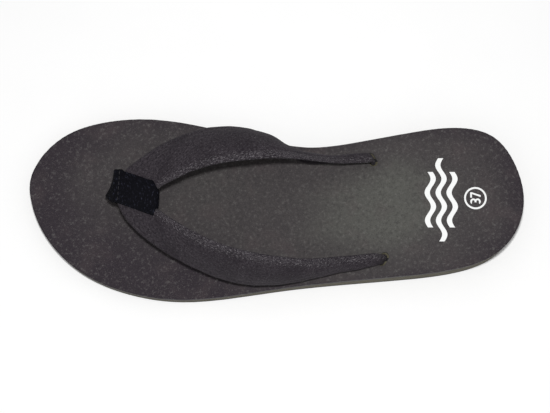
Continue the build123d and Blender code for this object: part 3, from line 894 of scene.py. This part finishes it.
class Shader:
    """A material's node tree, with short calls for the nodes used here.

    Factors are numbers or sockets; colours are 0 to 255 screen values or sockets.
    """

    def __init__(self, name):
        self.material = bpy.data.materials.new(name)
        self.material.use_nodes = True
        self.tree = self.material.node_tree
        self.surface = self.tree.nodes["Principled BSDF"]

    def node(self, kind, **settings):
        made = self.tree.nodes.new(kind)
        for key, value in settings.items():
            setattr(made, key, value)
        return made

    def feed(self, made, **values):
        """Sets or links a node's inputs, named with _ for each space."""
        for key, value in values.items():
            self.feed_socket(made.inputs[key.replace("_", " ")], value)

    def feed_socket(self, socket, value):
        if isinstance(value, (int, float, tuple)):
            socket.default_value = value
        else:
            self.tree.links.new(value, socket)

    def attribute(self, name):
        return self.node("ShaderNodeAttribute", attribute_name=name).outputs["Vector"]

    def parts(self, vector):
        made = self.node("ShaderNodeSeparateXYZ")
        self.feed(made, Vector=vector)
        return made.outputs

    def math(self, operation, a, b=0.0):
        made = self.node("ShaderNodeMath", operation=operation)
        self.feed_socket(made.inputs[0], a)
        self.feed_socket(made.inputs[1], b)
        return made.outputs[0]

    def plus(self, a, b):
        return self.math("ADD", a, b)

    def minus(self, a, b):
        return self.math("SUBTRACT", a, b)

    def times(self, a, b):
        return self.math("MULTIPLY", a, b)

    def noise(self, vector, scale, detail=3.0, roughness=0.55):
        made = self.node("ShaderNodeTexNoise")
        self.feed(made, Vector=vector, Scale=scale, Detail=detail, Roughness=roughness)
        return made.outputs["Fac"]

    def cells(self, vector, scale):
        made = self.node("ShaderNodeTexVoronoi")
        self.feed(made, Vector=vector, Scale=scale)
        return made.outputs["Distance"]

    def stretch(self, vector, scale):
        made = self.node("ShaderNodeMapping")
        self.feed(made, Vector=vector, Scale=scale)
        return made.outputs[0]

    def ramp(self, factor, low, high):
        """Factor remapped so that low gives 0 and high gives 1."""
        made = self.node("ShaderNodeMapRange", interpolation_type="SMOOTHSTEP")
        self.feed(made, Value=factor, From_Min=low, From_Max=high)
        return made.outputs["Result"]

    def mix(self, factor, a, b):
        made = self.node("ShaderNodeMix", data_type="RGBA")
        self.feed_socket(made.inputs[0], factor)
        for index, value in ((6, a), (7, b)):
            self.feed_socket(made.inputs[index], linear(value) if isinstance(value, tuple) else value)
        return made.outputs[2]

    def tint(self, colour, factor, amount, target):
        """The target colour laid over another, as strongly as factor times amount."""
        return self.mix(self.times(factor, amount), colour, target)

    def bump(self, height, strength, distance, normal=None):
        made = self.node("ShaderNodeBump")
        self.feed(made, Height=height, Strength=strength, Distance=distance)
        if normal is not None:
            self.feed(made, Normal=normal)
        return made.outputs["Normal"]

    def finish(self, colour, roughness, specular, normal=None, sheen=0.0, sheen_tint=(255, 255, 255)):
        self.feed(self.surface, Base_Color=colour, Roughness=roughness, Specular_IOR_Level=specular,
                  Sheen_Weight=sheen, Sheen_Roughness=0.5, Sheen_Tint=linear(sheen_tint))
        if normal is not None:
            self.feed(self.surface, Normal=normal)
        return self.material


def footbed_material():
    """Charcoal closed-cell foam: fine grain and pits, olive towards the middle, purplish at the rim; the
    lighter middle and the darker toe and lateral forefoot are partly painted flash falloff and sheen, and the
    pits hold painted shade.

    It reads the stored rest places, so that the grain stays put in a bend.
    """
    s = Shader("footbed_foam")
    rest = s.attribute("rest")
    tone_and_falloff = s.parts(s.attribute("tone_and_falloff"))[0]
    # painted flash falloff and sheen: the stored value is partly the foam's own colour and partly painted
    # light, lightest in the heel half's middle
    level = s.plus(tone_and_falloff, s.times(s.minus(s.noise(rest, 34, 4, 0.6), 0.5), 0.5))
    colour = s.mix(s.ramp(level, 0.0, 0.5), (39, 31, 39), (61, 57, 58))
    colour = s.mix(s.ramp(level, 0.5, 1.0), colour, (79, 79, 75))
    colour = s.tint(colour, s.ramp(s.noise(rest, 70, 2), 0.5, 0.75), 0.35, (72, 62, 64))
    mottle = s.noise(rest, 640, 3, 0.75)
    colour = s.tint(colour, s.ramp(mottle, 0.5, 0.3), 0.5, (42, 39, 41))
    colour = s.tint(colour, s.ramp(mottle, 0.52, 0.72), 0.45, (108, 106, 104))
    grain = s.noise(rest, 1500, 3, 0.7)
    colour = s.tint(colour, s.ramp(grain, 0.38, 0.22), 0.5, (30, 28, 29))
    colour = s.tint(colour, s.ramp(s.noise(rest, 2600, 2, 0.6), 0.58, 0.75), 0.5, (122, 118, 114))
    # painted shade: the pits are darkened in colour, besides being sunk by the bump
    pit = s.minus(1.0, s.ramp(s.cells(rest, 620), 0.05, 0.22))
    colour = s.tint(colour, pit, 0.45, (30, 29, 29))
    fine = s.bump(s.minus(s.times(grain, 0.8), pit), 0.55, 0.12 * MM)
    normal = s.bump(s.noise(rest, 160, 3), 0.25, 0.6 * MM, fine)
    return s.finish(colour, s.plus(0.62, s.times(grain, 0.25)), 0.28, normal, 0.08)


def wall_material(name, dark, light, olive):
    """Cut foam edge: close cells and fine grain, with the olive tint coming and going."""
    s = Shader(name)
    rest = s.attribute("rest")
    streak = s.noise(s.stretch(rest, (1, 1, 3)), 210, 4, 0.7)
    grain = s.noise(rest, 1300, 3, 0.75)
    colour = s.mix(s.ramp(streak, 0.25, 0.8), dark, light)
    colour = s.tint(colour, s.noise(rest, 40, 3), 0.6, olive)
    colour = s.tint(colour, s.ramp(grain, 0.46, 0.3), 0.6, (28, 27, 23))
    colour = s.tint(colour, s.ramp(grain, 0.55, 0.72), 0.4, (128, 124, 108))
    height = s.plus(s.times(s.cells(rest, 780), 1.4), s.plus(grain, streak))
    return s.finish(colour, 0.85, 0.2, s.bump(height, 0.7, 0.2 * MM), 0.05)


def strap_material(name, dark, light, fleck, pitch, fleck_amount, painted_sheen_amount):
    """Crepe-like cloth: uneven crossing threads, pebbled, with light flecks that crowd at the rear edge as
    painted sheen.
    """
    s = Shader(name)
    weave = s.attribute("weave")
    along, across, from_rear = s.parts(weave)
    place = s.stretch(weave, (1, 1, 0))
    wander = s.times(s.minus(s.noise(place, 480, 3, 0.7), 0.5), 6.5)
    turns = [s.plus(s.times(lane, 2 * math.pi / pitch), wander) for lane in (along, across)]
    waves = s.times(s.math("SINE", turns[0]), s.math("SINE", turns[1]))
    pebble = s.noise(place, 900, 3, 0.75)
    slub = s.noise(s.stretch(weave, (1, 2, 0)), 800, 3, 0.75)
    fuzz = s.noise(place, 2200, 2, 0.75)
    height = s.plus(s.times(waves, 0.22), s.times(pebble, 1.3))
    # painted sheen: the light flecks crowd within a few millimetres of the rear edge
    band = s.minus(1.0, s.ramp(from_rear, 1.5 * MM, 5.5 * MM))
    colour = s.mix(s.ramp(height, 0.35, 0.95), dark, light)
    colour = s.tint(colour, s.ramp(s.noise(place, 60, 3), 0.42, 0.62), 0.4, dark)
    lifted = s.plus(slub, s.times(band, 0.07))
    bright = s.times(s.ramp(lifted, 0.56, 0.70), s.ramp(fuzz, 0.42, 0.62))
    colour = s.tint(colour, bright, s.plus(fleck_amount, s.times(band, painted_sheen_amount)), fleck)
    threads = s.bump(s.plus(height, s.times(slub, 0.8)), 0.8, 0.28 * MM)
    normal = s.bump(fuzz, 0.3, 0.08 * MM, threads)
    return s.finish(colour, 0.84, 0.16, normal, 0.06, (140, 136, 142))


def wrap_material():
    """Near-black band: close uneven ribs with streaks of sheen."""
    s = Shader("wrap_fabric")
    weave = s.attribute("weave")
    along, across, _ = s.parts(weave)
    wander = s.times(s.minus(s.noise(weave, 380, 3, 0.7), 0.5), 7.0)
    diagonal = s.plus(along, s.times(across, 0.35))
    rib = s.math("SINE", s.plus(s.times(diagonal, 2 * math.pi / (0.7 * MM)), wander))
    streak = s.noise(s.stretch(weave, (2.4, 0.8, 1)), 620, 3, 0.75)
    height = s.plus(s.times(rib, 0.35), s.times(streak, 1.1))
    glint = s.ramp(streak, 0.57, 0.72)
    colour = s.mix(s.ramp(height, 0.2, 1.1), (3, 3, 7), (14, 14, 21))
    colour = s.tint(colour, glint, 0.6, (76, 78, 98))
    return s.finish(colour, s.minus(0.75, s.times(glint, 0.2)), 0.08, s.bump(height, 0.7, 0.16 * MM))


def print_material():
    """White screen ink that lets the foam's grain show."""
    s = Shader("white_print")
    place = s.node("ShaderNodeTexCoord").outputs["Object"]
    grain = s.noise(place, 1500, 3, 0.7)
    colour = s.mix(s.ramp(grain, 0.45, 0.2), (246, 247, 246), (205, 206, 204))
    colour = s.tint(colour, s.ramp(s.noise(place, 420, 4, 0.7), 0.68, 0.8), 0.5, (150, 150, 148))
    return s.finish(colour, 0.5, 0.35, s.bump(grain, 0.3, 0.1 * MM))


def plain_material(name, light, dark, scale, rough=0.8):
    """Quiet finish with fine mottling, for thread, webbing and moulded pieces inside the sole."""
    s = Shader(name)
    place = s.node("ShaderNodeTexCoord").outputs["Object"]
    grain = s.noise(place, scale, 3, 0.6)
    height = s.plus(grain, s.cells(place, scale * 0.7))
    colour = s.mix(s.ramp(grain, 0.35, 0.65), dark, light)
    return s.finish(colour, rough, 0.25, s.bump(height, 0.4, 0.1 * MM))


# ---- assembly ----
def tread_grooves():
    """x range of every groove and the groove depth, read from the flat groove roofs of the outsole."""
    at_x = {}
    for name in ("outsole_rear", "outsole_front"):
        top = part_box(name)[1].z
        for vertex in NODES[name].data.vertices:
            if 0.2 * MM < vertex.co.z < top - 0.2 * MM:
                at_x.setdefault(round(vertex.co.x, 5), []).append(tuple(vertex.co))
    edges, depth = [], 0.0
    for x, corners in sorted(at_x.items()):
        spread = np.ptp(np.array(corners), axis=0)
        if spread[1] > 10 * MM and spread[2] < 0.02 * MM:
            edges.append(x)
            depth = corners[0][2]
    return list(zip(edges[::2], edges[1::2])), depth


def build_footbed(sole):
    """The top sheet, sunk round the tails and with slots for tails, webbing and post."""
    dents = [tail_centre(side_name) for side_name in SIDES]

    def uneven(x, y, distance):
        drop = np.full_like(x, -0.05 * MM)
        for dx, dy in dents:
            drop -= DENT_DEPTH * np.exp(-((x - dx) ** 2 + (y - dy) ** 2) / DENT_REACH ** 2)
        places = [(a * 28, b * 28, 0.4) for a, b in zip(x.ravel(), y.ravel())]
        wave = lumps(places, (WAVE_DEPTH, 1)).reshape(x.shape)
        return drop + wave * np.clip(distance / (6 * MM), 0, 1)

    footbed = sheet("footbed", sole, (sole.footbed_low, sole.top), (SEAM_RADIUS, RIM_RADIUS),
                    EDGE_COLUMNS, 34, 3, shape_top=uneven)
    slots = []
    for side_name, side in SIDES.items():
        low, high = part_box(f"{side_name}_anchor_webbing")
        x, y = tail_centre(side_name)
        size = (2 * TAIL_HALF_WIDTH + TAIL_SPARE[0], 2 * TAIL_HALF_THICKNESS + TAIL_SPARE[1])
        slots.append(slot_cutter((x, y), size, side * TAIL_TURN, high.z - TAIL_OVERLAP, CUT_UP_TO))
        middle = (low + high) / 2
        size = (high.x - low.x + WEBBING_SPARE[0], high.y - low.y + WEBBING_SPARE[1])
        slots.append(slot_cutter(middle, size, 0, sole.footbed_low(x) - CUT_BELOW, high.z + 0.1 * MM))
    base = JOINTS["post_lean"]["pos_m"]
    turn = math.radians(90 - POST_TWIST)
    slots.append(slot_cutter(base, POST_SLOT, turn, sole.footbed_low(base[0]) - CUT_BELOW, CUT_UP_TO))
    cut_away(footbed, slots)
    paint_tone_and_falloff(footbed, sole)
    return footbed


def build_midsole(sole):
    """The middle sheet, glued between the other two."""
    return sheet("midsole", sole, (sole.outsole_high, sole.footbed_low), (SEAM_RADIUS, SEAM_RADIUS),
                 (0, 0.1, 0.25, 0.6), 12, 9)


def build_outsole(sole):
    """The walking sheet, with the CAD's tread grooves stopping short of the edge."""
    pairs, depth = tread_grooves()
    step = GROOVE_STEP

    def tread(x, y, distance):
        lift = np.zeros_like(x)
        for a, b in pairs:
            lift[(x > a - step / 2) & (x < b + step / 2) & (distance > GROOVE_BORDER)] = depth
        return lift

    groove_x = np.concatenate([[a - step, a + step / 4, b - step / 4, b + step] for a, b in pairs])
    return sheet("outsole", sole, (np.zeros_like, sole.outsole_high), (TREAD_RADIUS, SEAM_RADIUS),
                 (0, 0.2, 0.6, 2.5, 6.9, 7.1), 12, 5, extra_x=groove_x, shape_low=tread)


def build_sole(sole):
    """Footbed, midsole and outsole, each one sheet across the flex line."""
    midsole_foam = wall_material("midsole_foam", (62, 59, 50), (104, 99, 82), (88, 83, 63))
    outsole_rubber = wall_material("outsole_rubber", (44, 44, 42), (62, 61, 56), (52, 50, 44))
    for piece, material, slot in (
        (build_footbed(sole), footbed_material(), "footbed_foam"),
        (build_midsole(sole), midsole_foam, "midsole_foam"),
        (build_outsole(sole), outsole_rubber, "outsole_rubber"),
    ):
        shade_smooth(piece)
        keep_crisp(piece)
        store(piece, "rest", [v.co for v in piece.data.vertices])
        dress(piece, material)
        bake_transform(piece)
        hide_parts(f"{piece.name}_rear", f"{piece.name}_front")


def keep_crisp(piece):
    """Steep edges stay crisp in an otherwise smooth piece."""
    solid = bmesh.new()
    solid.from_mesh(piece.data)
    for edge in solid.edges:
        if len(edge.link_faces) == 2 and edge.calc_face_angle(0) > math.radians(CRISP_ANGLE):
            edge.smooth = False
    solid.to_mesh(piece.data)
    solid.free()


def paint_tone_and_falloff(footbed, sole):
    """How light and olive the foam is, partly its own colour and partly painted flash falloff and sheen: most
    in the heel half's middle, least at rim, toe and lateral side.
    """
    co = np.array([v.co for v in footbed.data.vertices])
    x = co[:, 0]
    inward = np.clip(sole.edge_distance(co[:, :2]) / RIM_DARKENING, 0, 1)
    along = np.interp(x / MM, TONE_AND_FALLOFF_X, TONE_AND_FALLOFF)
    medial, lateral = sole.sides(x)
    share = (co[:, 1] - medial) / np.maximum(lateral - medial, MM)
    # painted shade: the lateral forefoot is darkened for the flash's falloff
    shade = np.clip((share - 0.5) / 0.35, 0, 1) * np.clip((x + 10 * MM) / (40 * MM), 0, 1)
    tone_and_falloff = np.clip(along * (0.25 + 0.75 * inward ** 0.7) * (1 - 0.85 * shade), 0, 1)
    store(footbed, "tone_and_falloff", np.stack([tone_and_falloff, inward, along], 1))


def dress_cad_nodes():
    """The prints, anchor discs and webbing keep their CAD shape."""
    ink = print_material()
    plastic = plain_material("anchor_plastic", (40, 40, 42), (24, 24, 26), 900, rough=0.55)
    webbing = plain_material("webbing", (34, 33, 36), (16, 16, 18), 1400)
    for name, node in NODES.items():
        for ending, material in (("print", ink), ("disc", plastic), ("webbing", webbing)):
            if name.endswith(ending):
                dress(node, material)


def build_stage():
    """Pale floor, soft surround, and a small key light beside the camera."""
    bpy.ops.mesh.primitive_plane_add(size=FLOOR_SIZE, location=(0, 0, -FLOOR_DROP))
    floor = bpy.context.object
    floor.name = "floor"
    s = Shader("floor_white")
    place = s.node("ShaderNodeTexCoord").outputs["Object"]
    colour = s.mix(s.noise(place, 30, 2), (250, 250, 250), (247, 247, 247))
    s.feed(s.surface, Emission_Color=(1.0, 1.0, 1.0, 1.0), Emission_Strength=FLOOR_GLOW)
    dress(floor, s.finish(colour, 0.9, 0.1))
    world = bpy.data.worlds.new("surround")
    bpy.context.scene.world = world
    world.use_nodes = True
    light = world.node_tree.nodes["Background"].inputs
    light["Color"].default_value = (1, 1, 1, 1)
    light["Strength"].default_value = SURROUND
    lamp = bpy.data.lights.new("key", "AREA")
    lamp.shape = "DISK"
    lamp.size = KEY_SIZE
    lamp.energy = KEY_POWER
    key = bpy.data.objects.new("key", lamp)
    bpy.context.scene.collection.objects.link(key)
    key.location = KEY_PLACE
    aim = Vector((0, 0, KEY_AIM_Z)) - key.location
    key.rotation_euler = aim.to_track_quat("-Z", "Y").to_euler()


def build_camera():
    """Seen from almost straight above, toe to the left, as a hand-held shot would be."""
    centre = (Vector(CAD_BOX[0]) + Vector(CAD_BOX[1])) / 2
    lens = bpy.data.cameras.new("camera")
    lens.lens = CAMERA_LENS
    camera = bpy.data.objects.new("camera", lens)
    bpy.context.scene.collection.objects.link(camera)
    camera.location = CAMERA_PLACE
    target = Vector((centre.x, centre.y - CAMERA_SHIFT, CAMERA_AIM_Z))
    backward = (camera.location - target).normalized()
    right = Vector((-1, -math.tan(math.radians(CAMERA_ROLL)), 0))
    right = (right - backward * right.dot(backward)).normalized()
    up = backward.cross(right)
    camera.rotation_euler = Matrix((right, up, backward)).transposed().to_euler()
    bpy.context.scene.camera = camera
    bpy.context.scene.view_settings.view_transform = "Standard"


def main():
    sole = Sole()
    build_sole(sole)
    dress_cad_nodes()
    # the cover's last number is the painted sheen of flecks at its rear edge; the lining gets none
    cloth = strap_material("strap_fabric", (28, 23, 29), (66, 61, 66), (156, 152, 156), 0.8 * MM, 0.42, 0.45)
    lining = strap_material("strap_lining", (24, 22, 25), (46, 43, 48), (92, 88, 92), 1.2 * MM, 0.3, 0.0)
    thread = plain_material("thread", (52, 50, 54), (30, 29, 32), 2600)
    straps = [build_arm(side_name, sole, cloth, lining, thread) for side_name in SIDES]
    black = wrap_material()
    build_wrap(straps, black, thread)
    build_post(black)
    build_stage()
    build_camera()


main()
